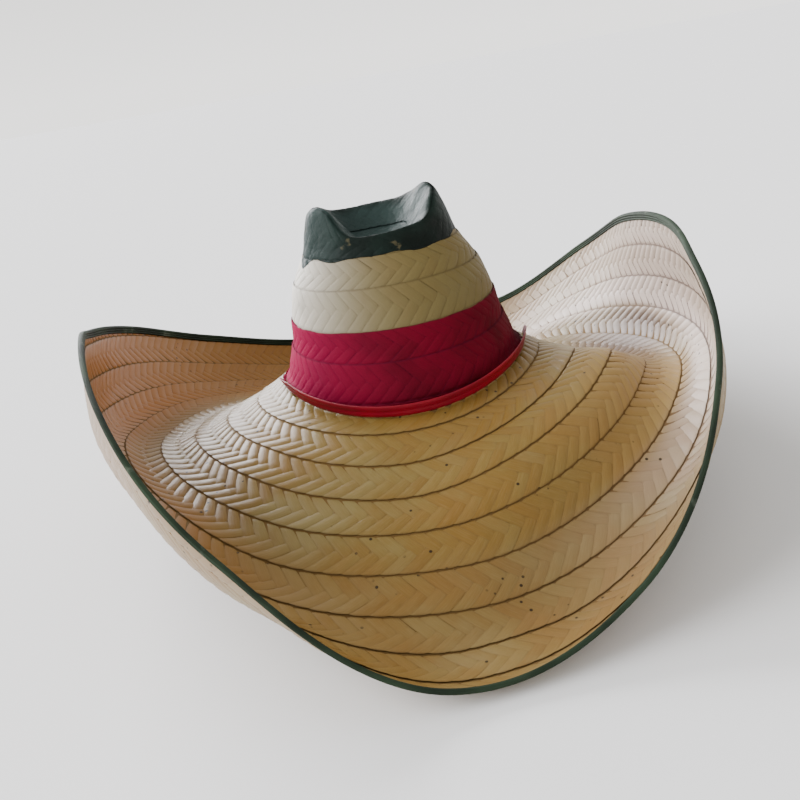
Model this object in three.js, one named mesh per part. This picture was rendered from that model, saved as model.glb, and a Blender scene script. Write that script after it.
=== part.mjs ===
// A palm-straw sombrero. Millimetres, +Z up, +X to the right and -Y to the front of the hat.
// A direction round the hat is a turn in degrees: 0 right, 90 back, 180 left, 270 front.
// The origin is on the surface that the hat rests on, under the middle of its box.

import * as THREE from 'three';

// Straw
const STRAW_WALL = 2.0;
const ROW_STEP = 0.8;
const FIRST_ROW = 15;
const ROW_WIDTH = 23.5;
const CLEARANCE = 0.3;

// Foot of the crown, where the brim starts: half sizes of its oval, how far it waves and tips, and how far the
// brim reaches in past that oval at each side, under the narrower crown
const FOOT_HALF_WIDTH = 84;
const FOOT_HALF_DEPTH = 103;
const FOOT_SADDLE = 7;
const FOOT_TIP = 10;
const FOOT_TUCK = 4.5;

// Crown
const CROWN_HEIGHT = 124;
const BASIN_DEPTH = 33;

// Brim: its width along the straw, and how deep the flat is that it rests on
const BRIM_WIDTH = 195;
const REST_FLAT = 1.6;

// Green edge folded over the rim
const BINDING_WALL = 0.9;
const BINDING_LAP_FRONT = 2.5;
const BINDING_LAP_BACK = 5.5;
const BINDING_LAP_UNDER = 5;

// Red strap round the front of the crown's foot, from its left point to its right tail. Each end runs out over
// the brim within a short turn, down to a share of the strap's height.
const BAND_HEIGHT = 8;
const BAND_THICKNESS = 1.4;
const BAND_LEAN = 2.2;
const BAND_FROM_ANGLE = 192;
const BAND_TO_ANGLE = 366;
const BAND_END_ANGLE = 18;
const BAND_POINT_OFFSET = 0.5;
const BAND_POINT_SHARE = 0.3;
const BAND_TAIL_OFFSET = 2.5;
const BAND_TAIL_SHARE = 0.65;

// Directions round the hat that the skins are made of, and steps of the line that a brim slope is followed in
const TURNS = 60;
const LINE_STEPS = 80;

// Height of the brim's slope above level in degrees, at the foot, at each fifth of its width, and at the rim
const BRIM_SLOPES = [
  { turn: 0.0, foot: -27, fifth: -18, two: -10, three: 66, four: 101, rim: 95 },
  { turn: 22.5, foot: -40, fifth: -30, two: 2, three: 60, four: 85, rim: 87 },
  { turn: 45.0, foot: -44, fifth: -32, two: -1, three: 31, four: 51, rim: 70 },
  { turn: 67.5, foot: -44, fifth: -35, two: -17, three: 2, four: 24, rim: 56 },
  { turn: 90.0, foot: -42, fifth: -34, two: -23, three: -7, four: 18, rim: 54 },
  { turn: 112.5, foot: -41, fifth: -35, two: -24, three: -6, four: 22, rim: 60 },
  { turn: 135.0, foot: -39, fifth: -32, two: -17, three: 8, four: 39, rim: 73 },
  { turn: 157.5, foot: -36, fifth: -26, two: -9, three: 24, four: 64, rim: 87 },
  { turn: 180.0, foot: -32, fifth: -20, two: -7, three: 36, four: 87, rim: 97 },
  { turn: 202.5, foot: -26, fifth: -12, two: -6, three: 44, four: 97, rim: 97 },
  { turn: 225.0, foot: -19, fifth: -13, two: -15, three: 27, four: 83, rim: 88 },
  { turn: 247.5, foot: -19, fifth: -23, two: -24, three: -19, four: 45, rim: 82 },
  { turn: 270.0, foot: -22, fifth: -28, two: -27, three: -35, four: -10, rim: 34 },
  { turn: 292.5, foot: -28, fifth: -12, two: -45, three: -40, four: 9, rim: 58 },
  { turn: 315.0, foot: -22, fifth: -1, two: -44, three: -11, four: 68, rim: 92 },
  { turn: 337.5, foot: -14, fifth: 3, two: -38, three: 38, four: 105, rim: 99 },
];
const SLOPE_COLUMNS = ['foot', 'fifth', 'two', 'three', 'four', 'rim'];

// Crown wall: level as a share of its height, half sizes as shares of the foot's, and how far it leans right
const CROWN_SECTIONS = [
  { level: 0.00, width: 0.960, depth: 1.000, lean: 0.000 },
  { level: 0.12, width: 0.932, depth: 0.965, lean: -0.005 },
  { level: 0.26, width: 0.862, depth: 0.860, lean: -0.008 },
  { level: 0.40, width: 0.822, depth: 0.735, lean: -0.016 },
  { level: 0.58, width: 0.738, depth: 0.575, lean: -0.030 },
  { level: 0.71, width: 0.625, depth: 0.435, lean: -0.038 },
  { level: 0.86, width: 0.555, depth: 0.355, lean: -0.042 },
  { level: 1.00, width: 0.470, depth: 0.300, lean: -0.045 },
];

// Height of the crown's lip as a share of its height: a horn at each side, low in front
const CROWN_LIP = [
  { turn: 0.0, height: 0.965 },
  { turn: 22.5, height: 0.985 },
  { turn: 45.0, height: 0.945 },
  { turn: 67.5, height: 0.905 },
  { turn: 90.0, height: 0.895 },
  { turn: 112.5, height: 0.890 },
  { turn: 135.0, height: 0.905 },
  { turn: 157.5, height: 0.945 },
  { turn: 180.0, height: 0.940 },
  { turn: 202.5, height: 0.965 },
  { turn: 225.0, height: 0.945 },
  { turn: 247.5, height: 0.820 },
  { turn: 270.0, height: 0.808 },
  { turn: 292.5, height: 0.818 },
  { turn: 315.0, height: 0.840 },
  { turn: 337.5, height: 0.930 },
];

// Basin inside the lip: share of the way out to the lip, and share of the height up from its floor
const BASIN = [
  { out: 0.91, up: 0.99 },
  { out: 0.78, up: 0.72 },
  { out: 0.52, up: 0.24 },
  { out: 0.26, up: 0.05 },
];

// Shares of the lip's height where the wall has a ring, and of a braid row where the brim has one
const WALL_RINGS = [0.03, 0.10, 0.22, 0.35, 0.48, 0.61, 0.73, 0.85, 0.94, 1.0];
const ROW_RINGS = [0.04, 0.50, 0.96];

const radians = (degrees) => (degrees * Math.PI) / 180;

// Smooth curve through four values, for a share of the way from the second to the third
function smooth(before, from, to, after, share) {
  const bend = 2 * before - 5 * from + 4 * to - after;
  const twist = 3 * (from - to) + after - before;
  return from + 0.5 * share * (to - before + share * (bend + share * twist));
}

// Value of a column at any turn, from a table whose rows go evenly round the hat
function roundHat(table, column, turn) {
  const place = (((turn % 360) + 360) % 360) / (360 / table.length);
  const row = Math.floor(place);
  const value = (step) => table[(row + step + table.length) % table.length][column];
  return smooth(value(-1), value(0), value(1), value(2), place - row);
}

// Value of a column between the rows of a table that is ordered by another column
function between(table, key, column, place) {
  const above = table.findIndex((row) => row[key] >= place);
  const upper = above < 0 ? table.length - 1 : Math.max(above, 1);
  const from = table[upper - 1];
  const to = table[upper];
  const share = (place - from[key]) / (to[key] - from[key]);
  return from[column] + share * (to[column] - from[column]);
}

// Distance between two vertices of a list of coordinates
function gap(positions, from, to) {
  const point = (vertex) => new THREE.Vector3().fromArray(positions, 3 * vertex);
  return point(from).distanceTo(point(to));
}

// Closed skin over rings that all run anticlockwise. A ring of one point is a pole; without poles it joins up.
function skin(rings) {
  const starts = [];
  const positions = [];
  for (const ring of rings) {
    starts.push(positions.length / 3);
    for (const point of ring) positions.push(point.x, point.y, point.z);
  }
  const faces = [];
  const joinsUp = rings[0].length > 1;
  const spans = joinsUp ? rings.length : rings.length - 1;
  for (let span = 0; span < spans; span++) {
    const next = (span + 1) % rings.length;
    const size = Math.max(rings[span].length, rings[next].length);
    for (let step = 0; step < size; step++) {
      const at = (ring, place) => starts[ring] + (place % rings[ring].length);
      const corners = [at(span, step), at(span, step + 1), at(next, step + 1), at(next, step)];
      const isFan = rings[span].length === 1 || rings[next].length === 1;
      const isShort = isFan || gap(positions, corners[0], corners[2]) <= gap(positions, corners[1], corners[3]);
      const [a, b, c, d] = isShort ? corners : [corners[1], corners[2], corners[3], corners[0]];
      if (rings[span].length > 1) faces.push(a, b, c);
      if (rings[next].length > 1) faces.push(a, c, d);
    }
  }
  const geometry = new THREE.BufferGeometry();
  geometry.setAttribute('position', new THREE.Float32BufferAttribute(positions, 3));
  geometry.setIndex(faces);
  geometry.computeVertexNormals();
  return geometry;
}

// Outward direction of each point of a grid of rings, from its neighbours; outward is left of the ring order
function gridNormals(rings) {
  return rings.map((ring, row) => ring.map((point, step) => {
    const along = ring[(step + 1) % ring.length].clone().sub(ring[(step + ring.length - 1) % ring.length]);
    const before = rings[Math.max(row - 1, 0)][step];
    const after = rings[Math.min(row + 1, rings.length - 1)][step];
    return along.cross(after.clone().sub(before)).normalize();
  }));
}

// Grid of rings moved along its own directions by a distance
function offset(rings, normals, distance) {
  return rings.map((ring, row) => ring.map((point, step) => (
    point.clone().addScaledVector(normals[row][step], distance)
  )));
}

const turnAt = (step) => (360 * step) / TURNS;
const allTurns = Array.from({ length: TURNS }, (_, step) => turnAt(step));

function footHeight(turn) {
  return FOOT_SADDLE * Math.cos(radians(2 * turn)) - FOOT_TIP * Math.sin(radians(turn));
}

// Line that the middle of the straw follows out from the foot, as reach and height at even steps
function brimLine(turn) {
  const row = {};
  for (const column of SLOPE_COLUMNS) row[column] = roundHat(BRIM_SLOPES, column, turn);
  const slopes = SLOPE_COLUMNS.map((column) => row[column]);
  const spans = slopes.length - 1;
  const line = [{ reach: 0, height: footHeight(turn) }];
  for (let step = 0; step < LINE_STEPS; step++) {
    const place = (spans * (step + 0.5)) / LINE_STEPS;
    const span = Math.floor(place);
    const value = (index) => {
      if (index < 0) return 2 * slopes[0] - slopes[1];
      if (index > spans) return 2 * slopes[spans] - slopes[spans - 1];
      return slopes[index];
    };
    const slope = radians(smooth(value(span - 1), value(span), value(span + 1), value(span + 2), place - span));
    const last = line[step];
    const length = BRIM_WIDTH / LINE_STEPS;
    line.push({ reach: last.reach + length * Math.cos(slope), height: last.height + length * Math.sin(slope) });
  }
  return line;
}

const brimLines = allTurns.map(brimLine);
const lowest = (lines) => Math.min(...lines.flat().map((point) => point.height));

// The brim is pressed flat where it would reach lower than this, in front and at the back
const halfRound = TURNS / 2;
const restHeight = REST_FLAT + Math.max(
  lowest(brimLines.slice(0, halfRound)),
  lowest(brimLines.slice(halfRound)),
);

// Point in the middle of the straw, a travel out from the foot. A travel below 0 runs in along the first slope.
function brimPoint(step, travel) {
  const place = (travel / BRIM_WIDTH) * LINE_STEPS;
  const from = THREE.MathUtils.clamp(Math.floor(place), 0, LINE_STEPS - 1);
  const line = brimLines[step];
  const reach = line[from].reach + (place - from) * (line[from + 1].reach - line[from].reach);
  const height = line[from].height + (place - from) * (line[from + 1].height - line[from].height);
  const angle = radians(turnAt(step));
  return new THREE.Vector3(
    (FOOT_HALF_WIDTH + reach) * Math.cos(angle),
    (FOOT_HALF_DEPTH + reach) * Math.sin(angle),
    Math.max(height, restHeight),
  );
}

// Rings of the brim from the foot to the rim: their travel, how far the row tips up there, and how far they
// tuck in at the sides
function brimRings() {
  const rings = [{ travel: 0, tip: 0, tuck: FOOT_TUCK }, { travel: STRAW_WALL, tip: 0, tuck: FOOT_TUCK }];
  let start = 0;
  let end = FIRST_ROW;
  while (end < BRIM_WIDTH) {
    for (const share of ROW_RINGS) {
      const travel = start + share * (end - start);
      if (travel > 2 * STRAW_WALL) rings.push({ travel, tip: ROW_STEP * (share - 0.5), tuck: 0 });
    }
    start = end;
    end += ROW_WIDTH;
  }
  const lap = Math.max(BINDING_LAP_FRONT, BINDING_LAP_BACK, BINDING_LAP_UNDER);
  rings.push({ travel: start + ROW_RINGS[0] * ROW_WIDTH, tip: -ROW_STEP / 2, tuck: 0 });
  rings.push({ travel: BRIM_WIDTH - lap, tip: 0, tuck: 0 }, { travel: BRIM_WIDTH, tip: 0, tuck: 0 });
  return rings;
}

const rings = brimRings();
const brimMiddle = rings.map((ring) => allTurns.map((turn, step) => (
  brimPoint(step, ring.travel - ring.tuck * Math.cos(radians(turn)) ** 2)
)));
const isFlat = (point) => point.z <= restHeight;
const brimNormals = gridNormals(brimMiddle).map((row, ring) => row.map((normal, step) => (
  isFlat(brimMiddle[ring][step]) ? new THREE.Vector3(0, 0, 1) : normal.negate()
)));

// Face of the brim at a distance from the middle of its straw, ring by ring from the foot
function brimFace(distance) {
  return brimMiddle.map((ring, row) => ring.map((point, step) => {
    const tip = isFlat(point) ? 0 : rings[row].tip;
    const face = point.clone().addScaledVector(brimNormals[row][step], distance + tip);
    return face.setZ(Math.max(face.z, restHeight + distance));
  }));
}

const brimTop = brimFace(STRAW_WALL / 2);
const brimUnder = brimFace(-STRAW_WALL / 2);

// Point at a height above the brim, a travel out from the foot
function aboveBrim(step, travel, height) {
  const next = rings.findIndex((ring) => ring.travel > travel);
  const share = (travel - rings[next - 1].travel) / (rings[next].travel - rings[next - 1].travel);
  const point = brimTop[next - 1][step].clone().lerp(brimTop[next][step], share);
  const normal = brimNormals[next - 1][step].clone().lerp(brimNormals[next][step], share);
  return point.addScaledVector(normal, height);
}

function makeBrim() {
  return skin([...brimTop.slice().reverse(), ...brimUnder]);
}

// Width of the green edge on top of the brim: narrow in front
function bindingLap(turn) {
  const front = 0.5 - 0.5 * Math.sin(radians(turn));
  return BINDING_LAP_BACK + (BINDING_LAP_FRONT - BINDING_LAP_BACK) * front ** 2;
}

// The green edge follows the rim as a fold: its section runs over the top, round the rim and back below
function makeBinding() {
  const rim = brimMiddle.length - 1;
  const inside = STRAW_WALL / 2 + CLEARANCE;
  const outside = inside + BINDING_WALL;
  const section = (turn) => [
    { out: -bindingLap(turn), up: inside },
    { out: -bindingLap(turn), up: outside },
    { out: CLEARANCE, up: outside },
    { out: CLEARANCE + BINDING_WALL, up: inside },
    { out: CLEARANCE + BINDING_WALL, up: -inside },
    { out: CLEARANCE, up: -outside },
    { out: -BINDING_LAP_UNDER, up: -outside },
    { out: -BINDING_LAP_UNDER, up: -inside },
    { out: CLEARANCE, up: -inside },
    { out: CLEARANCE, up: inside },
  ];
  const sections = allTurns.map((turn, step) => {
    const outward = brimMiddle[rim][step].clone().sub(brimMiddle[rim - 1][step]).normalize();
    return section(turn).map(({ out, up }) => (
      brimMiddle[rim][step].clone().addScaledVector(outward, out).addScaledVector(brimNormals[rim][step], up)
    ));
  });
  const corners = sections[0].map((_, corner) => sections.map((points) => points[corner]));
  return skin(corners.reverse());
}

// Outer point of the crown at a turn and a height above the middle level of the foot
function crownPoint(turn, height) {
  const level = Math.max(height, 0) / CROWN_HEIGHT;
  const width = between(CROWN_SECTIONS, 'level', 'width', level);
  const depth = between(CROWN_SECTIONS, 'level', 'depth', level);
  const lean = between(CROWN_SECTIONS, 'level', 'lean', level);
  return new THREE.Vector3(
    FOOT_HALF_WIDTH * (lean + width * Math.cos(radians(turn))),
    FOOT_HALF_DEPTH * depth * Math.sin(radians(turn)),
    height,
  );
}

const lipHeight = (turn) => CROWN_HEIGHT * roundHat(CROWN_LIP, 'height', turn);
const basinFloor = CROWN_HEIGHT - BASIN_DEPTH;
const basinMiddle = FOOT_HALF_WIDTH * between(CROWN_SECTIONS, 'level', 'lean', 1);

// The crown stands on the brim's first rings, a clearance above them
const seatInside = allTurns.map((_, step) => aboveBrim(step, 0, CLEARANCE));
const seatOutside = allTurns.map((_, step) => aboveBrim(step, STRAW_WALL, CLEARANCE));

function crownWall() {
  return WALL_RINGS.map((share) => allTurns.map((turn, step) => (
    crownPoint(turn, THREE.MathUtils.lerp(seatOutside[step].z, lipHeight(turn), share))
  )));
}

function crownBasin() {
  return BASIN.map(({ out, up }) => allTurns.map((turn) => {
    const lip = crownPoint(turn, lipHeight(turn));
    return new THREE.Vector3(
      THREE.MathUtils.lerp(basinMiddle, lip.x, out),
      out * lip.y,
      THREE.MathUtils.lerp(basinFloor, lip.z, up),
    );
  }));
}

function makeCrown() {
  const outer = [seatOutside, ...crownWall(), ...crownBasin()];
  const inner = offset(outer, gridNormals(outer), -STRAW_WALL);
  inner[0] = seatInside;
  const top = new THREE.Vector3(basinMiddle, 0, basinFloor);
  const ceiling = new THREE.Vector3(basinMiddle, 0, basinFloor - STRAW_WALL);
  return skin([[ceiling], ...inner.reverse(), ...outer, [top]]);
}

// The red strap stands on the brim round the crown, and leans off it towards the top
function makeBand() {
  const turns = [];
  for (let turn = BAND_FROM_ANGLE; turn <= BAND_TO_ANGLE; turn += turnAt(1)) turns.push(turn);
  const sections = turns.map((turn) => {
    const leftEnd = Math.max(0, 1 - (turn - BAND_FROM_ANGLE) / BAND_END_ANGLE);
    const rightEnd = Math.max(0, 1 - (BAND_TO_ANGLE - turn) / BAND_END_ANGLE);
    const away = BAND_POINT_OFFSET * leftEnd + BAND_TAIL_OFFSET * rightEnd;
    const lower = (1 - BAND_POINT_SHARE) * leftEnd + (1 - BAND_TAIL_SHARE) * rightEnd;
    const height = BAND_HEIGHT * (1 - lower);
    const step = Math.round(turn / turnAt(1)) % TURNS;
    const base = aboveBrim(step, STRAW_WALL + CLEARANCE + away, CLEARANCE);
    const outward = new THREE.Vector3(
      Math.cos(radians(turn)) / FOOT_HALF_WIDTH,
      Math.sin(radians(turn)) / FOOT_HALF_DEPTH,
      0,
    ).normalize();
    const corner = (out, up) => base.clone().addScaledVector(outward, out).setZ(base.z + up);
    return [
      corner(0, 0),
      corner(BAND_THICKNESS, 0),
      corner(BAND_THICKNESS + BAND_LEAN, height),
      corner(BAND_LEAN, height),
    ];
  });
  return stripSolid(sections);
}

// Closed solid through four-cornered sections, with a flat end at each side
function stripSolid(sections) {
  const positions = sections.flat().flatMap((point) => [point.x, point.y, point.z]);
  const faces = [];
  for (let section = 0; section < sections.length - 1; section++) {
    for (let corner = 0; corner < 4; corner++) {
      const next = (corner + 1) % 4;
      const here = 4 * section;
      const there = here + 4;
      faces.push(here + corner, there + corner, there + next);
      faces.push(here + corner, there + next, here + next);
    }
  }
  const last = 4 * (sections.length - 1);
  faces.push(0, 1, 2, 0, 2, 3, last, last + 2, last + 1, last, last + 3, last + 2);
  const geometry = new THREE.BufferGeometry();
  geometry.setAttribute('position', new THREE.Float32BufferAttribute(positions, 3));
  geometry.setIndex(faces);
  geometry.computeVertexNormals();
  return geometry;
}

const straw = new THREE.MeshStandardMaterial({ color: 0xa98a5c, roughness: 0.55, metalness: 0 });
const paintedStraw = new THREE.MeshStandardMaterial({ color: 0xb09468, roughness: 0.5, metalness: 0 });
const greenEdge = new THREE.MeshStandardMaterial({ color: 0x2f4a36, roughness: 0.6, metalness: 0 });
const redStrap = new THREE.MeshStandardMaterial({ color: 0xa81630, roughness: 0.5, metalness: 0 });

const sombrero = new THREE.Group();
for (const [name, geometry, material] of [
  ['crown', makeCrown(), paintedStraw],
  ['brim', makeBrim(), straw],
  ['rim_binding', makeBinding(), greenEdge],
  ['crown_band', makeBand(), redStrap],
]) {
  const mesh = new THREE.Mesh(geometry, material);
  mesh.name = name;
  sombrero.add(mesh);
}

// Set the hat down with the middle of its box over the origin
const box = new THREE.Box3().setFromObject(sombrero);
const middle = box.getCenter(new THREE.Vector3());
sombrero.position.set(-middle.x, -middle.y, -box.min.z);

export default sombrero;
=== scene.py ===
"""A painted palm-straw sombrero: plaited braid, sewn round and round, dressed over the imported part."""
import math

import bpy
import numpy as np
from mathutils import Matrix


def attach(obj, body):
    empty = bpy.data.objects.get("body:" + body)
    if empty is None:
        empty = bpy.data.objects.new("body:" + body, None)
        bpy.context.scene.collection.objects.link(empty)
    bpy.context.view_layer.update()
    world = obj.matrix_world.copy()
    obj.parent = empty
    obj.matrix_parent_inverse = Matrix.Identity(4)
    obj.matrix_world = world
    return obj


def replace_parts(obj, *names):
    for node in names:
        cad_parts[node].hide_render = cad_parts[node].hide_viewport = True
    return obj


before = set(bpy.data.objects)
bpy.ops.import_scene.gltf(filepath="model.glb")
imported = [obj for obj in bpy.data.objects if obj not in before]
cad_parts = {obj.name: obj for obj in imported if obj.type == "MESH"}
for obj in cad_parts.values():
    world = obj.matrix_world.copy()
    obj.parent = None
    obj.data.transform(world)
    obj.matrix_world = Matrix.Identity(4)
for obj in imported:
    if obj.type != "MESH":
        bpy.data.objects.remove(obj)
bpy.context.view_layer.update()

# Sizes of the part, in millimetres, measured from the middle of the crown's foot
MM = 0.001
FOOT_MIDDLE = np.array([9.772, 1.552, 71.299])
STRAW_WALL = 2.0
ROW_STEP = 0.8
ROW_WIDTH = 23.5
CLEARANCE = 0.3
FOOT_HALF_WIDTH = 84
FOOT_HALF_DEPTH = 103
FOOT_SADDLE = 7
FOOT_TIP = 10
FOOT_TUCK = 4.5
CROWN_HEIGHT = 124
BASIN_DEPTH = 33
BRIM_WIDTH = 195
BINDING_WALL = 0.9
BINDING_LAP_FRONT = 2.5
BINDING_LAP_BACK = 5.5
BINDING_LAP_UNDER = 5
BAND_HEIGHT = 8
BAND_LEAN = 2.2
BAND_FROM_ANGLE = 192
BAND_TO_ANGLE = 366
BAND_END_ANGLE = 18
BAND_POINT_OFFSET = 0.5
BAND_POINT_SHARE = 0.3
BAND_TAIL_OFFSET = 2.5
BAND_TAIL_SHARE = 0.65

# Lowest that the middle of the brim's straw lies, and how softly it flattens there, in square millimetres
REST_HEIGHT = STRAW_WALL / 2 - FOOT_MIDDLE[2]
REST_SOFTNESS = 1.4

# Slope of the brim above level in degrees, every 22.5 degrees round from the right:
# at the foot, at each fifth of the width, and at the rim
BRIM_SLOPES = np.array([
    [-27, -18, -10, 66, 101, 95],
    [-40, -30, 2, 60, 85, 87],
    [-44, -32, -1, 31, 51, 70],
    [-44, -35, -17, 2, 24, 56],
    [-42, -34, -23, -7, 18, 54],
    [-41, -35, -24, -6, 22, 60],
    [-39, -32, -17, 8, 39, 73],
    [-36, -26, -9, 24, 64, 87],
    [-32, -20, -7, 36, 87, 97],
    [-26, -12, -6, 44, 97, 97],
    [-19, -13, -15, 27, 83, 88],
    [-19, -23, -24, -19, 45, 82],
    [-22, -28, -27, -35, -10, 34],
    [-28, -12, -45, -40, 9, 58],
    [-22, -1, -44, -11, 68, 92],
    [-14, 3, -38, 38, 105, 99],
], float)

# Crown wall: level, half width, half depth and lean to the right, as shares of the height and the foot
CROWN_SECTIONS = np.array([
    [0.00, 0.960, 1.000, 0.000],
    [0.12, 0.932, 0.965, -0.005],
    [0.26, 0.862, 0.860, -0.008],
    [0.40, 0.822, 0.735, -0.016],
    [0.58, 0.738, 0.575, -0.030],
    [0.71, 0.625, 0.435, -0.038],
    [0.86, 0.555, 0.355, -0.042],
    [1.00, 0.470, 0.300, -0.045],
])

# Height of the crown's lip as a share of its height, every 22.5 degrees round from the right
CROWN_LIP = np.array([
    0.965, 0.985, 0.945, 0.905, 0.895, 0.890, 0.905, 0.945,
    0.940, 0.965, 0.945, 0.820, 0.808, 0.818, 0.840, 0.930,
])[:, None]

# Basin inside the lip: share of the way out to the lip, and share of the height up from its floor
BASIN = [(0.91, 0.99), (0.78, 0.72), (0.52, 0.24), (0.26, 0.05), (0.0, 0.0)]

# Heights at which a row of the crown's braid ends, above the middle of the foot. Paint ends with a row.
CROWN_SEAMS = [10, 32, 48.5, 71.5, 88]
RED_TOP_ROW = 3
GREEN_LOW_ROW = 5

# Spiral of the brim's braid: where its first row ends in front, and how much faster it runs in there
FIRST_SEAM = -8.4
SPIRAL_WOBBLE = 0.28

# Plait: distance between strands along a row, how high a strand lies and arches, the same under green paint,
# how much of its width it fills, how unevenly it lies along the row and leans, from where its end goes under
# the next one, how deep and how wide it dips at a seam, and how far its corners are rounded there
STRAND_PITCH = 9.6
STRAND_LIFT = 0.6
STRAND_ARCH = 0.32
PAINTED_LIFT = 0.72
PAINTED_ARCH = 0.16
STRAND_FILL = 1.03
STRAND_SHIFT = 0.02
STRAND_LEAN = 0.04
STRAND_END = 0.72
SEAM_DIP = 0.34
SEAM_HALF = 0.032
SEAM_ROUND = 0.022

# Half the size of a strand, and how far apart the grain of two strands is taken from the noise
STRAND_HALF_WIDTH = 3.4
STRAND_HALF_LENGTH = 8.3
STRAND_APART = 7.3

# Core between the two sides of the plait: half its thickness, and its middle below the crown's outer face
CORE_HALF = 0.30
CROWN_MIDDLE = 1.0
FLARE_HEIGHT = 3.5

# Where the plait ends short of the rim, and how far past it a strand may still begin
RIM_INSET = 0.6
STRAND_REACH = 3

# Edging: ribs, how much thinner it is in front, how high its grooves and its fold lie as shares of its wall,
# how deep its edges end in the straw, and how far its grain runs across each side
EDGING_RIBS = 3
EDGING_FRONT_THINNER = 0.6
GROOVE_SHARE = 0.17
FOLD_SHARE = 0.55
EDGING_SINK = 0.3
EDGING_GRAIN = 6

# How far the strap's grain runs for each degree round
STRAP_GRAIN = 1.6

# Fineness of the surfaces
TURN_STEPS = 720
TRAVEL_STEPS = 130
TUCK_STEPS = 4
ROW_STEPS = 12
RIB_STEPS = 8
FOLD_STEPS = 6
STRAP_STEPS = 260

# Section of the strap, as shares of its height and millimetres out: two flat ribs with a line between
STRAP_SECTION = [
    (0.02, 0.5), (0.06, 1.15), (0.2, 1.4), (0.4, 1.35), (0.5, 1.05), (0.56, 1.3), (0.75, 1.45),
    (0.92, 1.35), (0.98, 1.0), (1.0, 0.6), (0.97, 0.2), (0.8, 0.05), (0.4, 0.0), (0.06, 0.0),
]

# Floor: its radius in metres and how pale it is. Sky: how high it starts and ends to dim, as shares of the way
# overhead, and how bright it is there. Windows: how bright they are, and where their lamps stand.
FLOOR_RADIUS = 60
FLOOR_TONE = 0.88
SKY_DIM_FROM = 0.02
SKY_DIM_TO = 0.40
SKY_LOW = 2.1
SKY_HIGH = 0.85
BACK_WINDOW = 6.0
SIDE_WINDOW = 4.0
WINDOW_HEIGHT = 2.0

# Camera: its place off the foot's middle, what is right and ahead of it, and its lens on a 36 mm sensor
CAMERA_PLACE = np.array([14.6, -608.0, 194.9])
CAMERA_RIGHT = np.array([0.9866, -0.0221, -0.1615])
CAMERA_AHEAD = np.array([-0.0345, 0.9400, -0.3395])
LENS = 41.08


# Surfaces
def curve(before, start, end, after, share):
    """Smooth curve through four values, for a share of the way from the second to the third."""
    bend = 2 * before - 5 * start + 4 * end - after
    twist = 3 * (start - end) + after - before
    return start + 0.5 * share * (end - before + share * (bend + share * twist))


def around(table, turn):
    """Values of a table whose rows go evenly round the hat, at any turns in degrees."""
    place = (np.asarray(turn, float) % 360) * len(table) / 360
    row = np.floor(place).astype(int)

    def value(step):
        return table[(row + step) % len(table)]

    return curve(value(-1), value(0), value(1), value(2), (place - row)[..., None])


class Sheet:
    """A surface as a grid of points over the turn and over steps across it, with its outward directions."""

    def __init__(self, points, side):
        along = np.roll(points, -1, 0) - np.roll(points, 1, 0)
        across = np.gradient(points, axis=1)
        normals = side * np.cross(across, along)
        self.points = points
        self.normals = normals / (np.linalg.norm(normals, axis=2, keepdims=True) + 1e-9)

    def at(self, turn, step, lift):
        """Points at turns in degrees and steps across, lifted off the surface by millimetres."""
        column = (turn % 360) * len(self.points) / 360
        left = np.floor(column).astype(int)
        step = np.clip(step, 0, self.points.shape[1] - 1.0001)
        low = np.floor(step).astype(int)
        aside = (column - left)[..., None]
        up = (step - low)[..., None]

        def mixed(grid):
            here, there = left % len(grid), (left + 1) % len(grid)
            near = grid[here, low] * (1 - aside) + grid[there, low] * aside
            far = grid[here, low + 1] * (1 - aside) + grid[there, low + 1] * aside
            return near * (1 - up) + far * up

        normal = mixed(self.normals)
        normal /= np.linalg.norm(normal, axis=-1, keepdims=True) + 1e-9
        return mixed(self.points) + normal * np.asarray(lift)[..., None]


turns = np.arange(TURN_STEPS) * 360 / TURN_STEPS


def foot_height(turn):
    """Height of the crown's foot: highest at both sides, and lowest at the back."""
    return FOOT_SADDLE * np.cos(np.radians(2 * turn)) - FOOT_TIP * np.sin(np.radians(turn))


def tuck(turn):
    """How far the crown's foot is drawn in at both sides."""
    return FOOT_TUCK * np.cos(np.radians(turn)) ** 2


def brim_step(travel):
    """Step of the brim's sheet at a travel out from the foot."""
    return TUCK_STEPS + np.asarray(travel, float) * TRAVEL_STEPS / BRIM_WIDTH


def brim_sheet():
    """Middle of the brim's straw: out to the rim along each turn's slopes, and a little in under the crown."""
    slopes = around(BRIM_SLOPES, turns)
    first = 2 * slopes[:, :1] - slopes[:, 1:2]
    last = 2 * slopes[:, -1:] - slopes[:, -2:-1]
    knots = np.concatenate([first, slopes, last], axis=1)
    place = (slopes.shape[1] - 1) * (np.arange(TRAVEL_STEPS) + 0.5) / TRAVEL_STEPS
    span = np.floor(place).astype(int)
    slope = np.radians(curve(*(knots[:, span + step] for step in range(4)), place - span))
    step = BRIM_WIDTH / TRAVEL_STEPS
    inward = -step * np.arange(TUCK_STEPS, -1, -1)

    def followed(part):
        outward = np.cumsum(part(slope), axis=1) * step
        return np.concatenate([part(slope[:, :1]) * inward, outward], axis=1)

    reach, height = followed(np.cos), followed(np.sin)
    height += foot_height(turns)[:, None] - REST_HEIGHT
    height = REST_HEIGHT + (height + np.sqrt(height ** 2 + REST_SOFTNESS)) / 2
    angle = np.radians(turns)[:, None]
    x = (FOOT_HALF_WIDTH + reach) * np.cos(angle)
    y = (FOOT_HALF_DEPTH + reach) * np.sin(angle)
    return Sheet(np.stack([x, y, height], axis=2), 1)


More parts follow.
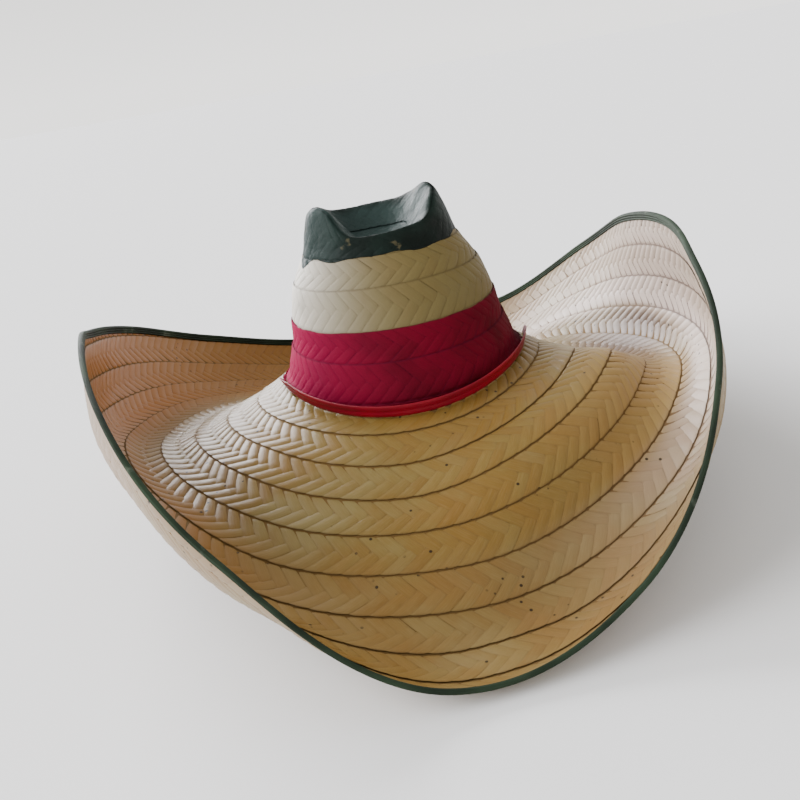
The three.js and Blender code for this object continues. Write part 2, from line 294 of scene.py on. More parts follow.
def smooth_section(level, column):
    """Value of a column of the crown's sections at any level, on a smooth curve through the rows."""
    levels, values = CROWN_SECTIONS[:, 0], CROWN_SECTIONS[:, column]
    tangents = np.gradient(values, levels)
    row = np.clip(np.searchsorted(levels, level) - 1, 0, len(levels) - 2)
    width = levels[row + 1] - levels[row]
    share = (level - levels[row]) / width
    rise, fall = values[row], values[row + 1]
    return (
        (2 * share ** 3 - 3 * share ** 2 + 1) * rise
        + (share ** 3 - 2 * share ** 2 + share) * width * tangents[row]
        + (3 * share ** 2 - 2 * share ** 3) * fall
        + (share ** 3 - share ** 2) * width * tangents[row + 1]
    )


def crown_wall(turn, height):
    """Points of the crown's outer wall at turns and heights above the middle of the foot."""
    level = np.maximum(height, 0) / CROWN_HEIGHT
    width, depth, lean = (smooth_section(level, column) for column in (1, 2, 3))
    x = FOOT_HALF_WIDTH * (lean + width * np.cos(np.radians(turn)))
    y = FOOT_HALF_DEPTH * depth * np.sin(np.radians(turn))
    return np.stack([x, y, height], axis=-1)


def crown_sheet():
    """Outer face of the crown: the same steps for each row of braid, up the wall and down the basin."""
    lip = CROWN_HEIGHT * around(CROWN_LIP, turns)[:, 0]
    top_face = np.full(TURN_STEPS, STRAW_WALL / 2 + CLEARANCE)
    seat = brim.at(turns, brim_step(STRAW_WALL - tuck(turns)), top_face)
    foot = seat[:, 2]
    flare = seat - crown_wall(turns, foot)
    levels = [foot] + [np.full(TURN_STEPS, seam) for seam in CROWN_SEAMS] + [lip]
    rings = []
    for low, high in zip(levels, levels[1:]):
        for step in range(ROW_STEPS):
            height = low + (high - low) * step / ROW_STEPS
            share = np.clip(1 - (height - foot) / FLARE_HEIGHT, 0, 1) ** 1.5
            rings.append(crown_wall(turns, height) + flare * share[:, None])
    top = crown_wall(turns, lip)
    middle = np.array([FOOT_HALF_WIDTH * CROWN_SECTIONS[-1, 3], 0, CROWN_HEIGHT - BASIN_DEPTH])
    outs = [1.0] + [out for out, up in BASIN]
    ups = [1.0] + [up for out, up in BASIN]
    for share in np.arange(2 * ROW_STEPS + 1) / (2 * ROW_STEPS):
        out = 1 - share
        up = np.interp(out, outs[::-1], ups[::-1])
        ring = middle + (top - middle) * np.array([out, out, up])
        rings.append(ring)
    points = np.stack(rings, axis=1)
    # The lip and the foot of the basin are rounded, as a damp braid bends
    soft = points.copy()
    for _ in range(3):
        soft[:, 1:-1] = (soft[:, :-2] + 2 * soft[:, 1:-1] + soft[:, 2:]) / 4
    blend = np.clip((np.arange(points.shape[1]) - 5 * ROW_STEPS) / 4, 0, 1)[None, :, None]
    return Sheet(points * (1 - blend) + soft * blend, -1)


brim = brim_sheet()
crown = crown_sheet()


# Finishes
class Paint:
    """A number or colour in a finish, with sums written as expressions."""

    def __init__(self, finish, socket):
        self.finish = finish
        self.socket = socket

    def sum(self, operation, *values):
        return self.finish.node("ShaderNodeMath", {"operation": operation}, dict(enumerate(values)))

    def __add__(self, other):
        return self.sum("ADD", self, other)

    __radd__ = __add__

    def __sub__(self, other):
        return self.sum("SUBTRACT", self, other)

    def __rsub__(self, other):
        return self.sum("SUBTRACT", other, self)

    def __mul__(self, other):
        return self.sum("MULTIPLY", self, other)

    __rmul__ = __mul__

    def over(self, low, high):
        """0 below low and 1 above high, with a smooth rise between."""
        values = {"Value": self, "From Min": low, "From Max": high}
        return self.finish.node("ShaderNodeMapRange", {"interpolation_type": "SMOOTHSTEP"}, values)


class Finish:
    """A node material. Plain values go straight to the shader's sockets."""

    def __init__(self, name, **values):
        self.material = bpy.data.materials.new(name)
        self.material.use_nodes = True
        self.tree = self.material.node_tree
        self.shader = self.tree.nodes["Principled BSDF"]
        for socket, value in values.items():
            self.set(socket.replace("_", " "), value)

    def set(self, socket, value):
        target = self.shader.inputs[socket]
        if isinstance(value, Paint):
            self.tree.links.new(value.socket, target)
        else:
            target.default_value = value

    def node(self, kind, settings=None, inputs=None, output=0):
        made = self.tree.nodes.new(kind)
        for name, value in (settings or {}).items():
            if name == "stops":
                for stop, (place, colour) in zip(self.stops(made, len(value)), value):
                    stop.position = place
                    stop.color = (*colour, 1)
            else:
                setattr(made, name, value)
        for name, value in (inputs or {}).items():
            if isinstance(value, Paint):
                self.tree.links.new(value.socket, made.inputs[name])
            else:
                made.inputs[name].default_value = value
        return Paint(self, made.outputs[output])

    def stops(self, ramp, count):
        elements = ramp.color_ramp.elements
        while len(elements) < count:
            elements.new(1.0)
        return elements

    def attribute(self, name, output="Fac"):
        return self.node("ShaderNodeAttribute", {"attribute_name": name}, output=output)

    def noise(self, scale, where=None, detail=2.0, roughness=0.5, stretch=None):
        where = where or self.node("ShaderNodeTexCoord", output="Object")
        if stretch:
            where = self.node("ShaderNodeVectorMath", {"operation": "MULTIPLY"}, {0: where, 1: stretch})
        values = {"Vector": where, "Scale": scale, "Detail": detail, "Roughness": roughness}
        return self.node("ShaderNodeTexNoise", None, values)

    def mix(self, share, first, second):
        """Mix of two colours, each a Paint or a plain (r, g, b)."""
        colours = [value if isinstance(value, Paint) else (*value, 1) for value in (first, second)]
        values = {0: share, 6: colours[0], 7: colours[1]}
        return self.node("ShaderNodeMix", {"data_type": "RGBA"}, values, output=2)

    def ramp(self, value, *stops):
        return self.node("ShaderNodeValToRGB", {"stops": stops}, {0: value})

    def bump(self, height, distance, strength=1.0):
        values = {"Height": height, "Distance": distance, "Strength": strength}
        self.set("Normal", self.node("ShaderNodeBump", None, values))


def fibres(finish):
    """Fine lines along a palm strand: its points know how far across and along it they are."""
    strand = finish.attribute("strand", "Vector")
    return finish.noise(1.0, strand, detail=3.0, roughness=0.6, stretch=(2.6, 0.12, 1.0))


def straw_colour(finish, tint):
    """Palm straw: each strand has its own tint, with fine lines along it and stains across the hat."""
    lines = fibres(finish)
    strands = finish.ramp(
        tint,
        (0.00, (0.171, 0.100, 0.021)),
        (0.40, (0.179, 0.109, 0.023)),
        (0.70, (0.181, 0.115, 0.026)),
        (0.90, (0.194, 0.132, 0.035)),
        (1.00, (0.186, 0.119, 0.034)),
    )
    patches = finish.noise(11.0, detail=5.0, roughness=0.6)
    greyed = finish.mix((1 - patches).over(0.48, 0.66) * 0.6, strands, (0.215, 0.172, 0.066))
    stained = finish.mix(patches.over(0.46, 0.66) * 0.6, greyed, (0.200, 0.100, 0.018))
    lined = finish.mix(lines.over(0.4, 0.8) * 0.22, stained, (0.310, 0.220, 0.090))
    return finish.mix((1 - lines).over(0.55, 0.85) * 0.22, lined, (0.135, 0.068, 0.015)), lines


def shaded_edges(finish, colour, dark, strength=1.0):
    """Painted shade, with some dirt, darkens a seam, and a little where a strand goes under the next one."""
    at_edge = finish.attribute("edge").over(0.6, 1.0) * 0.16
    at_seam = finish.attribute("seam").over(0.15, 1.0) * 0.55
    lined = finish.mix(at_edge * strength, colour, dark)
    return finish.mix(at_seam * strength, lined, dark)


def specks(finish):
    """Painted shade in a few small holes where the plait isn't quite shut."""
    where = finish.node("ShaderNodeTexCoord", output="Object")
    cells = finish.node("ShaderNodeTexVoronoi", {"distance": "EUCLIDEAN"}, {"Vector": where, "Scale": 135.0})
    rare = finish.noise(24.0, detail=1.0).over(0.50, 0.56)
    return (1 - cells.over(0.09, 0.15)) * rare


def straw_finish():
    """Bare palm straw, with painted light and painted shade over the brim's regions."""
    finish = Finish("palm_straw", Specular_IOR_Level=0.2)
    colour, lines = straw_colour(finish, finish.attribute("tint"))
    patches = finish.noise(16.0, detail=3.0)
    # Painted light and shade: an orange painted shade on the left flap's inner face, a yellow painted light in
    # the right valley, a grey painted shade before the right crest, and a pale painted light on the right flap
    # and under the left flap
    colour = finish.mix(finish.attribute("warm"), colour, (0.350, 0.130, 0.020))
    colour = finish.mix(finish.attribute("golden"), colour, (0.420, 0.285, 0.110))
    colour = finish.mix(finish.attribute("dusky") * (0.7 + 0.6 * patches), colour, (0.140, 0.092, 0.066))
    bleached = finish.attribute("bleached") * (0.75 + 0.5 * patches)
    colour = finish.mix(bleached, colour, (0.560, 0.460, 0.400))
    # The seams' colour for their painted shade follows the same painted light and shade
    dark = finish.mix(finish.attribute("warm"), (0.100, 0.052, 0.013), (0.180, 0.078, 0.017))
    dark = finish.mix(finish.attribute("bleached"), dark, (0.220, 0.170, 0.145))
    shaded = shaded_edges(finish, colour, dark)
    finish.set("Base Color", finish.mix(specks(finish) * 0.9, shaded, (0.012, 0.007, 0.003)))
    finish.set("Roughness", 0.31 + 0.16 * lines)
    finish.bump(lines, 0.00012, 0.6)
    return finish.material


def painted_finish():
    """Green over white over red, laid thinly enough for the plait to show, each ending near a row's edge."""
    finish = Finish("painted_straw", Specular_IOR_Level=0.08, Coat_Roughness=0.18)
    straw, lines = straw_colour(finish, finish.attribute("tint"))
    ragged = finish.noise(55.0, detail=3.0) * 0.1 - 0.05
    red = (finish.attribute("red") + ragged).over(-0.015, 0.015)
    green = (finish.attribute("green") + ragged * 0.5).over(-0.01, 0.01)
    patches = finish.noise(30.0, detail=4.0)
    # Painted light: the left side of the crown, where the light falls, takes a paler white, a bluish magenta
    # red and a teal green, and the white darkens to olive on the shaded right
    sunny = finish.attribute("sunny")
    whites = finish.mix(sunny, (0.118, 0.098, 0.041), (0.760, 0.730, 0.660))
    whites = finish.mix(0.7 + 0.25 * sunny, straw, whites)
    smudge = finish.noise(14.0, detail=4.0).over(0.6, 0.75)
    whites = finish.mix(smudge * 0.5, whites, (0.070, 0.076, 0.052))
    reds = finish.mix(patches.over(0.35, 0.7), (0.120, 0.001, 0.011), (0.070, 0.001, 0.006))
    reds = finish.mix(lines.over(0.5, 0.8) * 0.25, reds, (0.180, 0.003, 0.022))
    reds = finish.mix(sunny, reds, (0.330, 0.001, 0.060))
    greens = finish.mix(patches.over(0.4, 0.7), (0.003, 0.006, 0.004), (0.008, 0.017, 0.013))
    worn = finish.noise(70.0, detail=5.0).over(0.68, 0.73)
    greens = finish.mix(worn * 0.5, greens, (0.120, 0.100, 0.050))
    greens = finish.mix(sunny * 0.6, greens, (0.022, 0.046, 0.042))
    # Painted light: the green is paler inside the basin, where the shade is deep
    inside = finish.attribute("green").over(1.05, 1.5)
    greens = finish.mix(inside * 0.8, greens, (0.028, 0.048, 0.044))
    wrinkles = finish.noise(60.0, detail=3.0) * 11 + finish.noise(170.0, detail=3.0) * 6
    painted = finish.mix(green, finish.mix(red, whites, reds), greens)
    # Seam colours for the painted shade at the seams, lighter inside the basin as painted light
    green_seam = finish.mix(inside, (0.004, 0.008, 0.007), (0.018, 0.028, 0.026))
    lower_seam = finish.mix(red, (0.060, 0.038, 0.014), (0.045, 0.001, 0.014))
    dark = finish.mix(green, lower_seam, green_seam)
    finish.set("Base Color", shaded_edges(finish, painted, dark, strength=0.8))
    finish.set("Coat Weight", 0.05 * green)
    finish.set("Roughness", 0.42 + 0.15 * lines + 0.08 * green + 0.3 * red * (1 - green))
    finish.bump(lines + 2 * patches + green * wrinkles, 0.00016, 0.9)
    return finish.material


def shade_finish():
    """The straw down between the strands, where little light comes."""
    finish = Finish("straw_in_shade", Roughness=0.8, Specular_IOR_Level=0.2)
    grain = finish.noise(160.0, detail=3.0)
    brown = finish.mix(grain, (0.100, 0.054, 0.014), (0.160, 0.092, 0.027))
    # Paler with the pale painted light where the braid above takes it
    finish.set("Base Color", finish.mix(finish.attribute("bleached"), brown, (0.230, 0.175, 0.150)))
    finish.bump(grain, 0.0003, 0.5)
    return finish.material


def edging_finish():
    """Dark green strands, paler where they are worn, with painted shade in the grooves between the ribs."""
    finish = Finish("green_edging", Roughness=0.72, Specular_IOR_Level=0.16)
    strand = finish.attribute("strand", "Vector")
    lines = finish.noise(1.0, strand, detail=3.0, roughness=0.6, stretch=(3.0, 0.05, 1.0))
    patches = finish.noise(25.0, detail=4.0)
    colour = finish.mix(patches.over(0.35, 0.7), (0.007, 0.013, 0.006), (0.020, 0.036, 0.018))
    colour = finish.mix(lines.over(0.5, 0.75) * 0.45, colour, (0.044, 0.066, 0.042))
    worn = finish.noise(60.0, detail=5.0).over(0.62, 0.7)
    colour = finish.mix(worn * 0.4, colour, (0.150, 0.175, 0.130))
    groove = finish.attribute("edge")
    finish.set("Base Color", finish.mix(groove.over(0.5, 1.0) * 0.8, colour, (0.006, 0.010, 0.005)))
    finish.bump(lines, 0.0003, 0.6)
    return finish.material


def strap_finish():
    """Deep red strands, with darker lines along them."""
    finish = Finish("red_strap", Roughness=0.5, Specular_IOR_Level=0.2)
    strand = finish.attribute("strand", "Vector")
    lines = finish.noise(1.0, strand, detail=3.0, roughness=0.6, stretch=(2.0, 0.04, 1.0))
    patches = finish.noise(40.0, detail=3.0)
    colour = finish.mix(patches.over(0.35, 0.7), (0.240, 0.001, 0.012), (0.160, 0.001, 0.010))
    colour = finish.mix(lines.over(0.5, 0.8) * 0.4, colour, (0.120, 0.001, 0.008))
    finish.set("Base Color", colour)
    finish.bump(lines, 0.0004, 0.6)
    return finish.material


# Mesh building
def piece(name, points, quads, material, slot, **shades):
    """One object of four-cornered faces, its points in millimetres off the foot's middle.

    Each of shades is a value for every point, which a finish reads by its name.
    """
    mesh = bpy.data.meshes.new(name)
    places = ((points.reshape(-1, 3) + FOOT_MIDDLE) * MM).astype(np.float32)
    corners = quads.reshape(-1, 4).astype(np.int32)
    mesh.vertices.add(len(places))
    mesh.vertices.foreach_set("co", places.ravel())
    mesh.loops.add(corners.size)
    mesh.loops.foreach_set("vertex_index", corners.ravel())
    mesh.polygons.add(len(corners))
    mesh.polygons.foreach_set("loop_start", np.arange(0, corners.size, 4, dtype=np.int32))
    mesh.polygons.foreach_set("use_smooth", np.ones(len(corners), bool))
    for shade, values in shades.items():
        kind = "FLOAT_VECTOR" if np.ndim(values) > 1 and np.shape(values)[-1] == 3 else "FLOAT"
        layer = mesh.attributes.new(shade, kind, "POINT")
        field = "vector" if kind == "FLOAT_VECTOR" else "value"
        layer.data.foreach_set(field, np.ascontiguousarray(values, np.float32).ravel())
    mesh.update(calc_edges=True)
    mesh.validate()
    mesh.materials.append(material)
    made = bpy.data.objects.new(name, mesh)
    bpy.context.scene.collection.objects.link(made)
    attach(made, "root")
    return made


def grid_quads(rows, columns, closed=False, turned=False):
    """Corner numbers of a grid of points, row by row; a closed grid joins its last column to its first."""
    number = np.arange(rows * columns).reshape(rows, columns)
    if closed:
        number = np.concatenate([number, number[:, :1]], axis=1)
    corners = [number[:-1, :-1], number[:-1, 1:], number[1:, 1:], number[1:, :-1]]
    quads = np.stack(corners, axis=-1).reshape(-1, 4)
    return quads[:, ::-1] if turned else quads


class Plait:
    """Strands of a plait: each row shows two bands, slanting one way and then the other."""

    def __init__(self, seed, along_steps, across_steps, side):
        self.random = np.random.default_rng(seed)
        along = np.linspace(-1, 1, along_steps + 1)
        across = np.linspace(-1, 1, across_steps + 1)
        along, across = np.meshgrid(along, across, indexing="ij")
        self.along, self.across = along.ravel(), across.ravel()
        self.quads = grid_quads(along_steps + 1, across_steps + 1)
        self.side = side
        self.rows = []

    def row(self, length, place, keep=None, relief=None, shades=None, lift=STRAND_LIFT, arch=STRAND_ARCH):
        """One row of strands, laid on a surface by place.

        place gives points from the share along the row, the share across it, and the lift. From the same
        shares, keep says which strands stay, relief how much each one arches, and shades how it is coloured.
        """
        cells = max(int(round(length / STRAND_PITCH)), 5)
        pitch = length / cells
        skew = 0.25 * pitch / ROW_WIDTH
        # On a strand, u runs from -1 at the seam to 1 at the row's middle, and t across it. s runs along it in
        # quarters of the row. x counts strands along the row, and y is the share across the row.
        for band, slant in ((0, 1), (1, -1)):
            number = np.arange(cells)[:, None]
            jitter = self.random.normal(0, 1, (cells, 5))[:, :, None]
            u, t = self.along, self.across * STRAND_FILL
            seam_end = (-1.1 if band == 0 else 1) - 4 * skew * t
            s = seam_end + (u + 1) / 2 * (1.07 * slant - seam_end)
            x = number + 0.5 * band + slant * (s * 0.25 * ROW_WIDTH / pitch - t * 0.25)
            x = x + STRAND_SHIFT * jitter[:, 0]
            y = 0.25 + 0.5 * band + s / 4 + t * skew
            y = y - band * SEAM_ROUND * np.abs(t) ** 3 * ((1 - u) / 2) ** 4 + 0 * x
            seam = np.clip((np.abs(y - 0.5) - (0.5 - SEAM_HALF)) / SEAM_HALF, 0, 1.6)
            under = np.clip((u - STRAND_END) / (1 - STRAND_END), 0, 1)
            profile = 1 - 0.3 * t ** 2 - 0.7 * np.abs(t) ** 8 - 0.9 * under ** 2
            lean = STRAND_LEAN * (jitter[:, 2] * u + jitter[:, 3] * t + jitter[:, 4])
            centre = len(u) // 2
            here = x[:, centre:centre + 1] / cells, y[:, centre:centre + 1]
            one = np.ones_like(here[0])
            rise = arch * (relief(*here) if relief else one)
            height = lift + (rise * profile + STRAND_ARCH - rise) + lean * rise / STRAND_ARCH
            height = height - SEAM_DIP * seam ** 2 + self.side * ROW_STEP * (y - 0.5)
            row = {
                "points": place(x / cells, y, height),
                "outward": (place(*here, one) - place(*here, 0 * one))[:, 0],
                "edge": np.broadcast_to(np.maximum(np.abs(t) ** 5, under ** 2), x.shape),
                "seam": seam + 0 * x,
                "tint": np.broadcast_to(self.random.random((cells, 1)), x.shape),
                "x": x / cells,
                "y": y,
                "number": np.broadcast_to(number + 1000 * band + 5000 * len(self.rows), x.shape),
            }
            if shades:
                row.update(shades(x / cells, y))
            if keep:
                kept = keep(*here)[:, 0]
                row = {key: value[kept] for key, value in row.items()}
            self.rows.append(row)

    def all(self, key):
        """One value of every strand in every row."""
        return np.concatenate([row[key] for row in self.rows])

    def mesh(self, name, material, slot, **shades):
        """The rows as one piece."""
        points = self.all("points")
        quads = self.quads[None] + points.shape[1] * np.arange(len(points))[:, None, None]
        # The two bands run round their strands opposite ways, so faces are turned by what they look along
        a, b, c = (points.reshape(-1, 3)[quads[:, len(self.quads) // 2, corner]] for corner in (0, 1, 2))
        flip = (np.cross(b - a, c - a) * self.all("outward")).sum(axis=1) < 0
        quads[flip] = quads[flip][:, :, ::-1]
        numbers = self.all("number")
        across = np.broadcast_to(self.across * STRAND_HALF_WIDTH, numbers.shape)
        along = np.broadcast_to(self.along * STRAND_HALF_LENGTH, numbers.shape)
        strand = np.stack([across, along, numbers * STRAND_APART], axis=-1).reshape(-1, 3)
        values = {key: self.all(key) for key in ("edge", "seam", "tint")}
        return piece(name, points, quads, material, slot, strand=strand, **values, **shades)


def bump(turn, middle, width):
    """A soft rise of 1 round a turn in degrees."""
    away = (turn - middle + 180) % 360 - 180
    return np.exp(-(away / width) ** 2)


def smooth_rise(value, low, high):
    """0 below low and 1 above high, with a smooth rise between."""
    share = np.clip((value - low) / (high - low), 0, 1)
    return share * share * (3 - 2 * share)


def distances(points):
    """Distance along a line of points to each of them."""
    return np.concatenate([[0], np.cumsum(np.linalg.norm(np.diff(points, axis=0), axis=1))])


def regions(turn, travel, side):
    """How much painted light and painted shade the brim's straw takes, on its upper or its lower side.

    Each is a strength times a stretch of turns and a stretch of the way out from the foot.
    """
    crest = 103 + 20 * bump(turn, 22, 30)
    high = smooth_rise(travel, crest - 4, crest + 10)
    # Below, only the left flap's underside takes a pale painted light
    if side < 0:
        return {"bleached": 0.45 * bump(turn, 195, 60) * high}
    # Above: a painted highlight along the right flap beyond its crest, a pale painted light over the flap, a
    # grey painted shade before the crest, a yellow painted light in the right valley and an orange painted
    # shade on the left flap's inner face
    painted_highlight = bump(turn, 15, 40) * np.exp(-((travel - crest - 16) / 9) ** 2)
    return {
        "bleached": 0.80 * bump(turn, 8, 48) * high + 0.5 * painted_highlight,
        "dusky": 0.95 * bump(turn, 15, 22) * smooth_rise(travel, 20, 60) * (1 - high),
        "golden": 0.55 * bump(turn, 338, 26) * smooth_rise(travel, 30, 70) * (1 - high),
        "warm": 0.85 * bump(turn, 178, 62) * smooth_rise(travel, 88, 125),
    }


def brim_plait(name, seed, steps, side):
    """The brim's braid: rows that run in towards the crown by one row for each turn."""
    plait = Plait(seed, *steps, side)
    seen = np.linspace(-0.54, 0.54, 757)

    def travel_at(row, share, across):
        wobble = SPIRAL_WOBBLE * np.sin(2 * np.pi * share) / (2 * np.pi)
        return ROW_WIDTH * (row + across - share - wobble) + FIRST_SEAM

    for row in range(-1, 10):
        travel = np.clip(travel_at(row, seen, 0.5), 0, BRIM_WIDTH)
        if travel.max() <= 0 or travel.min() >= BRIM_WIDTH:
            continue
        length = distances(brim.at(270 + 360 * seen, brim_step(travel), np.zeros_like(seen)))
        start, end = np.interp((-0.5, 0.5), seen, length)

        def spot(x, y):
            share = np.interp(start + x * (end - start), length, seen)
            return 270 + 360 * share, travel_at(row, share, y)

        def place(x, y, lift):
            turn, travel = spot(x, y)
            inner = 1 - tuck(turn)
            beyond = np.maximum(travel - BRIM_WIDTH + RIM_INSET, 0) + np.maximum(inner - travel, 0)
            travel = np.clip(travel, inner, BRIM_WIDTH - RIM_INSET)
            return brim.at(turn, brim_step(travel), side * (lift - np.minimum(beyond * 0.2, 0.5)))

        def keep(x, y):
            turn, travel = spot(x, y)
            return (travel > -STRAND_REACH - tuck(turn)) & (travel < BRIM_WIDTH + STRAND_REACH)

        def relief(x, y):
            turn, travel = spot(x, y)
            left = bump(turn, 195, 42) * np.exp(-((travel - 65) / 50) ** 2)
            return 1 - 0.4 * bump(turn, 280, 45) + 1.1 * left + 0.5 * bump(turn, 5, 40)

        def shades(x, y):
            return regions(*spot(x, y), side)

        plait.row(end - start, place, keep, relief, shades)
    names = regions(0, 0, side)
    return plait.mesh(name, palm_straw, "straw", **{region: plait.all(region) for region in names})


def crown_plait(name, seed, steps, side, material, slot):
    """The crown's braid: one closed row between each two seams, over the lip and down into the basin."""
    plait = Plait(seed, *steps, side)
    seen = np.linspace(0, 1, 361)
    levels = []
    for row in range((crown.points.shape[1] - 1) // ROW_STEPS):
        middle = np.full_like(seen, (row + 0.5) * ROW_STEPS)
        length = distances(crown.at(360 * seen, middle, np.zeros_like(seen)))

        def place(x, y, lift):
            share = np.interp((x % 1) * length[-1], length, seen)
            return crown.at(360 * share, (row + y) * ROW_STEPS, side * lift - CROWN_MIDDLE)

        thick = row >= GREEN_LOW_ROW and side > 0
        lift, arch = (PAINTED_LIFT, PAINTED_ARCH) if thick else (STRAND_LIFT, STRAND_ARCH)
        before = len(plait.rows)
        plait.row(length[-1], place, lift=lift, arch=arch)
        levels += [row + made["y"] for made in plait.rows[before:]]
    level = np.concatenate(levels)
    turn = 360 * plait.all("x")
    return plait.mesh(name, material, slot, **paint_shares(turn, level))


def paint_shares(turn, level):
    """How far above the green's lower edge, how far below the red's upper edge, and how much painted light the
    left side takes.

    The green edge waves, and hangs down under the left horn.
    """
    lobe = 0.34 * bump(turn, 200, 9)
    wave = 0.05 * np.sin(np.radians(5 * turn)) + 0.04 * np.sin(np.radians(11 * turn + 40))
    return {
        "green": level - GREEN_LOW_ROW + lobe + wave,
        "red": RED_TOP_ROW - level,
        "sunny": bump(turn, 186, 46),
    }


def shell(name, sheet, middle, material, slot, shades, size):
    """A thin closed shell of columns and rows along a sheet, its middle lifted off it by millimetres."""
    columns, rows = size
    turn = np.arange(columns) * 360 / columns
    step = np.linspace(0, sheet.points.shape[1] - 1.001, rows)
    turn, step = np.meshgrid(turn, np.concatenate([step, step[::-1]]))
    lift = np.repeat((CORE_HALF + middle, -CORE_HALF + middle), rows * columns).reshape(turn.shape)
    quads = grid_quads(2 * rows, columns, closed=True)
    return piece(name, sheet.at(turn, step, lift), quads, material, slot, **shades(turn, step, lift))


def brim_core_shades(turn, step, lift):
    """The brim's core takes the same pale painted light on its upper side, where its braid is."""
    travel = (step - TUCK_STEPS) * BRIM_WIDTH / TRAVEL_STEPS
    return {"bleached": regions(turn, travel, 1)["bleached"] * (lift > 0)}


def crown_core_shades(turn, step, lift):
    """The crown's core is painted as its braid is, and darkened with painted shade, as at a seam."""
    return {**paint_shares(turn, step / ROW_STEPS), "seam": np.full_like(turn, 0.7)}


palm_straw = straw_finish()
painted_straw = painted_finish()
straw_in_shade = shade_finish()
green_edging = edging_finish()
red_strap = strap_finish()

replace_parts(brim_plait("brim_plait", 11, (8, 4), 1), "brim")
brim_plait("brim_plait_below", 12, (5, 4), -1)
# The cores are thin dark sheets, painted shade seen through the gaps between the strands
shell("brim_core", brim, 0, straw_in_shade, "straw", brim_core_shades, (240, 70))
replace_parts(crown_plait("crown_plait", 13, (9, 6), 1, painted_straw, "painted_straw"), "crown")
crown_plait("crown_plait_inside", 14, (6, 4), -1, palm_straw, "straw")
shell("crown_core", crown, -CROWN_MIDDLE, painted_straw, "painted_straw", crown_core_shades, (180, 90))


# Green edging, a strip of three ribs folded over the rim
def rib_line(first):
    """Share of the way over the edging's ribs and how far it bulges there, from a step of each rib."""
    for rib in range(EDGING_RIBS):
        for step in range(first, first + RIB_STEPS):
            yield (rib + step / RIB_STEPS) / EDGING_RIBS, math.sin(math.pi * step / RIB_STEPS) ** 0.7


def edging():
    """The edging: over the top from its inner edge to the rim, round it, and back below."""
    rim_step = np.full_like(turns, brim_step(BRIM_WIDTH) - 0.001)
    rim = brim.at(turns, rim_step, np.zeros_like(turns))
    outward = rim - brim.at(turns, rim_step - 3, np.zeros_like(turns))
    outward /= np.linalg.norm(outward, axis=1, keepdims=True)
    up = brim.at(turns, rim_step, np.ones_like(turns)) - rim
    front = (0.5 - 0.5 * np.sin(np.radians(turns))) ** 2
    lap = BINDING_LAP_BACK + (BINDING_LAP_FRONT - BINDING_LAP_BACK) * front
    half = STRAW_WALL / 2 + CLEARANCE * (1 - front)
    fold = BINDING_WALL * (1 - EDGING_FRONT_THINNER * front)
    under = BINDING_LAP_UNDER * (1 - EDGING_FRONT_THINNER * front)
    foot = STRAW_WALL / 2 - EDGING_SINK

    def high(bulge):
        return half + fold * (GROOVE_SHARE + (1 - GROOVE_SHARE) * bulge)

    # Each point of the section: out, lift, shade and place along the fold
    below = EDGING_GRAIN + FOLD_STEPS + 1
    section = [(-lap, foot, 1.0, 0)]
    for share, bulge in rib_line(0):
        section.append((lap * (share - 1), high(bulge), 1 - bulge, EDGING_GRAIN * share))
    for step in range(FOLD_STEPS + 1):
        angle = math.pi / 2 - math.pi * step / FOLD_STEPS
        lift = (half + FOLD_SHARE * fold) * math.sin(angle)
        section.append((CLEARANCE + fold * math.cos(angle), lift, 0.2, EDGING_GRAIN + step))
    for share, bulge in rib_line(1):
        section.append((-under * share, -high(bulge), 1 - bulge, below + EDGING_GRAIN * share))
    section.append((-under, -foot, 1.0, below + EDGING_GRAIN))

    points = np.stack([
        rim + outward * np.asarray(out)[:, None] + up * np.broadcast_to(lift, turns.shape)[:, None]
        for out, lift, shade, place in section
    ])
    size = points.shape[:2]
    edge = np.broadcast_to([[shade] for out, lift, shade, place in section], size)
    across = np.broadcast_to([[float(place)] for out, lift, shade, place in section], size)
    along = np.broadcast_to(distances(rim), size)
    strand = np.stack([across, along, np.zeros(size)], axis=-1).reshape(-1, 3)
    quads = grid_quads(*size, closed=True)
    return piece("rim_edging", points, quads, green_edging, "green_edge", edge=edge, strand=strand)


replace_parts(edging(), "rim_binding")


# Red strap round the front of the crown's foot
def strap():
    """The strap: a leaning strip, lower at its left point and standing off the crown at its right tail."""
    turn = np.linspace(BAND_FROM_ANGLE, BAND_TO_ANGLE, STRAP_STEPS)
    left = np.maximum(0, 1 - (turn - BAND_FROM_ANGLE) / BAND_END_ANGLE)
    right = np.maximum(0, 1 - (BAND_TO_ANGLE - turn) / BAND_END_ANGLE)
    away = BAND_POINT_OFFSET * left ** 1.5 + BAND_TAIL_OFFSET * right ** 1.5
    height = BAND_HEIGHT * (1 - (1 - BAND_POINT_SHARE) * left - (1 - BAND_TAIL_SHARE) * right)
    travel = STRAW_WALL + CLEARANCE + away - tuck(turn)
    base = brim.at(turn, brim_step(travel), np.full_like(turn, STRAW_WALL / 2 + CLEARANCE))
    outward = np.stack([
        np.cos(np.radians(turn)) / FOOT_HALF_WIDTH,
        np.sin(np.radians(turn)) / FOOT_HALF_DEPTH,
        np.zeros_like(turn),
    ], axis=1)
    outward /= np.linalg.norm(outward, axis=1, keepdims=True)
    up = np.array([0, 0, 1.0])
    points = np.stack([
        base + outward * (out + BAND_LEAN * share) + up * (height * share)[:, None]
        for share, out in STRAP_SECTION
    ], axis=1)
    size = points.shape[:2]
    across = np.broadcast_to([share * BAND_HEIGHT + out for share, out in STRAP_SECTION], size)
    along = np.broadcast_to(turn[:, None] * STRAP_GRAIN, size)
    strand = np.stack([across, along, np.zeros(size)], axis=-1).reshape(-1, 3)
    quads = grid_quads(*size, closed=True, turned=True)
    return piece("crown_strap", points, quads, red_strap, "red_strap", strand=strand)


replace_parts(strap(), "crown_band")


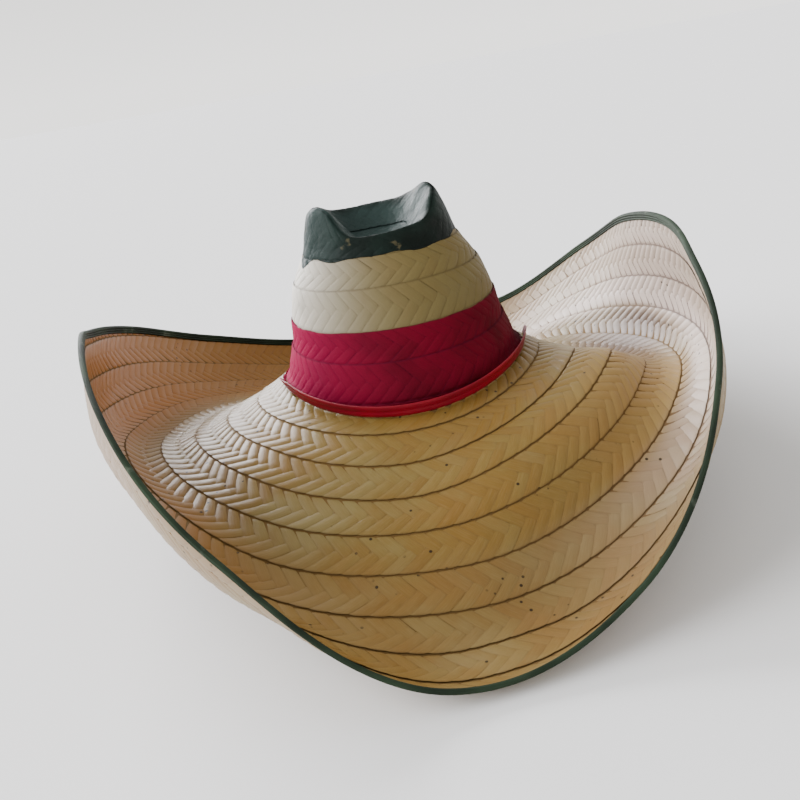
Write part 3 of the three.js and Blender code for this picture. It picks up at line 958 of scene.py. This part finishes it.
# Floor, lights and camera
def stage():
    """A wide pale floor that runs into a sky of its own brightness, dimmer overhead."""
    paper = Finish("pale_paper", Roughness=0.95, Specular_IOR_Level=0.05)
    paper.set("Base Color", (FLOOR_TONE, FLOOR_TONE, FLOOR_TONE, 1))
    bpy.ops.mesh.primitive_circle_add(vertices=128, radius=FLOOR_RADIUS, fill_type="NGON", location=(0, 0, 0))
    floor = bpy.context.object
    floor.name = "floor"
    floor.data.materials.append(paper.material)
    world = bpy.data.worlds.new("studio")
    world.use_nodes = True
    nodes, links = world.node_tree.nodes, world.node_tree.links
    where = nodes.new("ShaderNodeTexCoord")
    apart = nodes.new("ShaderNodeSeparateXYZ")
    glow = nodes.new("ShaderNodeMapRange")
    ends = {"From Min": SKY_DIM_FROM, "From Max": SKY_DIM_TO, "To Min": SKY_LOW, "To Max": SKY_HIGH}
    for name, value in ends.items():
        glow.inputs[name].default_value = value
    links.new(where.outputs["Generated"], apart.inputs[0])
    links.new(apart.outputs["Z"], glow.inputs["Value"])
    links.new(glow.outputs["Result"], nodes["Background"].inputs["Strength"])
    nodes["Background"].inputs["Color"].default_value = (1.0, 0.985, 0.965, 1)
    bpy.context.scene.world = world


def facing(towards, top=(0, 0, 1.0)):
    """Turning of a lamp or camera that looks along a direction, with its top as near as can be to another."""
    ahead = np.array(towards, float) / np.linalg.norm(towards)
    right = np.cross(ahead, top)
    right /= np.linalg.norm(right)
    upward = np.cross(right, ahead)
    return np.array([right, upward, -ahead]).T


def stand(holder, place, turning):
    """Puts a lamp or camera in the scene."""
    matrix = np.eye(4)
    matrix[:3, :3] = turning
    matrix[:3, 3] = place
    holder.matrix_world = Matrix(matrix.tolist())
    bpy.context.scene.collection.objects.link(holder)


def soft_sun(name, towards, strength, spread, colour):
    """Light from a wide window, as a sun whose rays spread by some degrees."""
    lamp = bpy.data.lights.new(name, "SUN")
    lamp.energy = strength
    lamp.angle = math.radians(spread)
    lamp.color = colour
    stand(bpy.data.objects.new(name, lamp), (0, 0, WINDOW_HEIGHT), facing(towards))


def photo_camera():
    """The camera, at the photo's angle."""
    lens = bpy.data.cameras.new("photo_camera")
    lens.sensor_width = 36
    lens.lens = LENS
    lens.clip_start = 0.01
    lens.clip_end = 200
    holder = bpy.data.objects.new("photo_camera", lens)
    upward = np.cross(CAMERA_RIGHT, CAMERA_AHEAD)
    stand(holder, (CAMERA_PLACE + FOOT_MIDDLE) * MM, facing(CAMERA_AHEAD, upward))
    bpy.context.scene.camera = holder


stage()
soft_sun("back_window", (0.50, -0.78, -0.38), BACK_WINDOW, 38, (0.96, 0.965, 1.0))
soft_sun("side_window", (0.85, 0.10, -0.52), SIDE_WINDOW, 50, (0.98, 0.98, 1.0))
photo_camera()
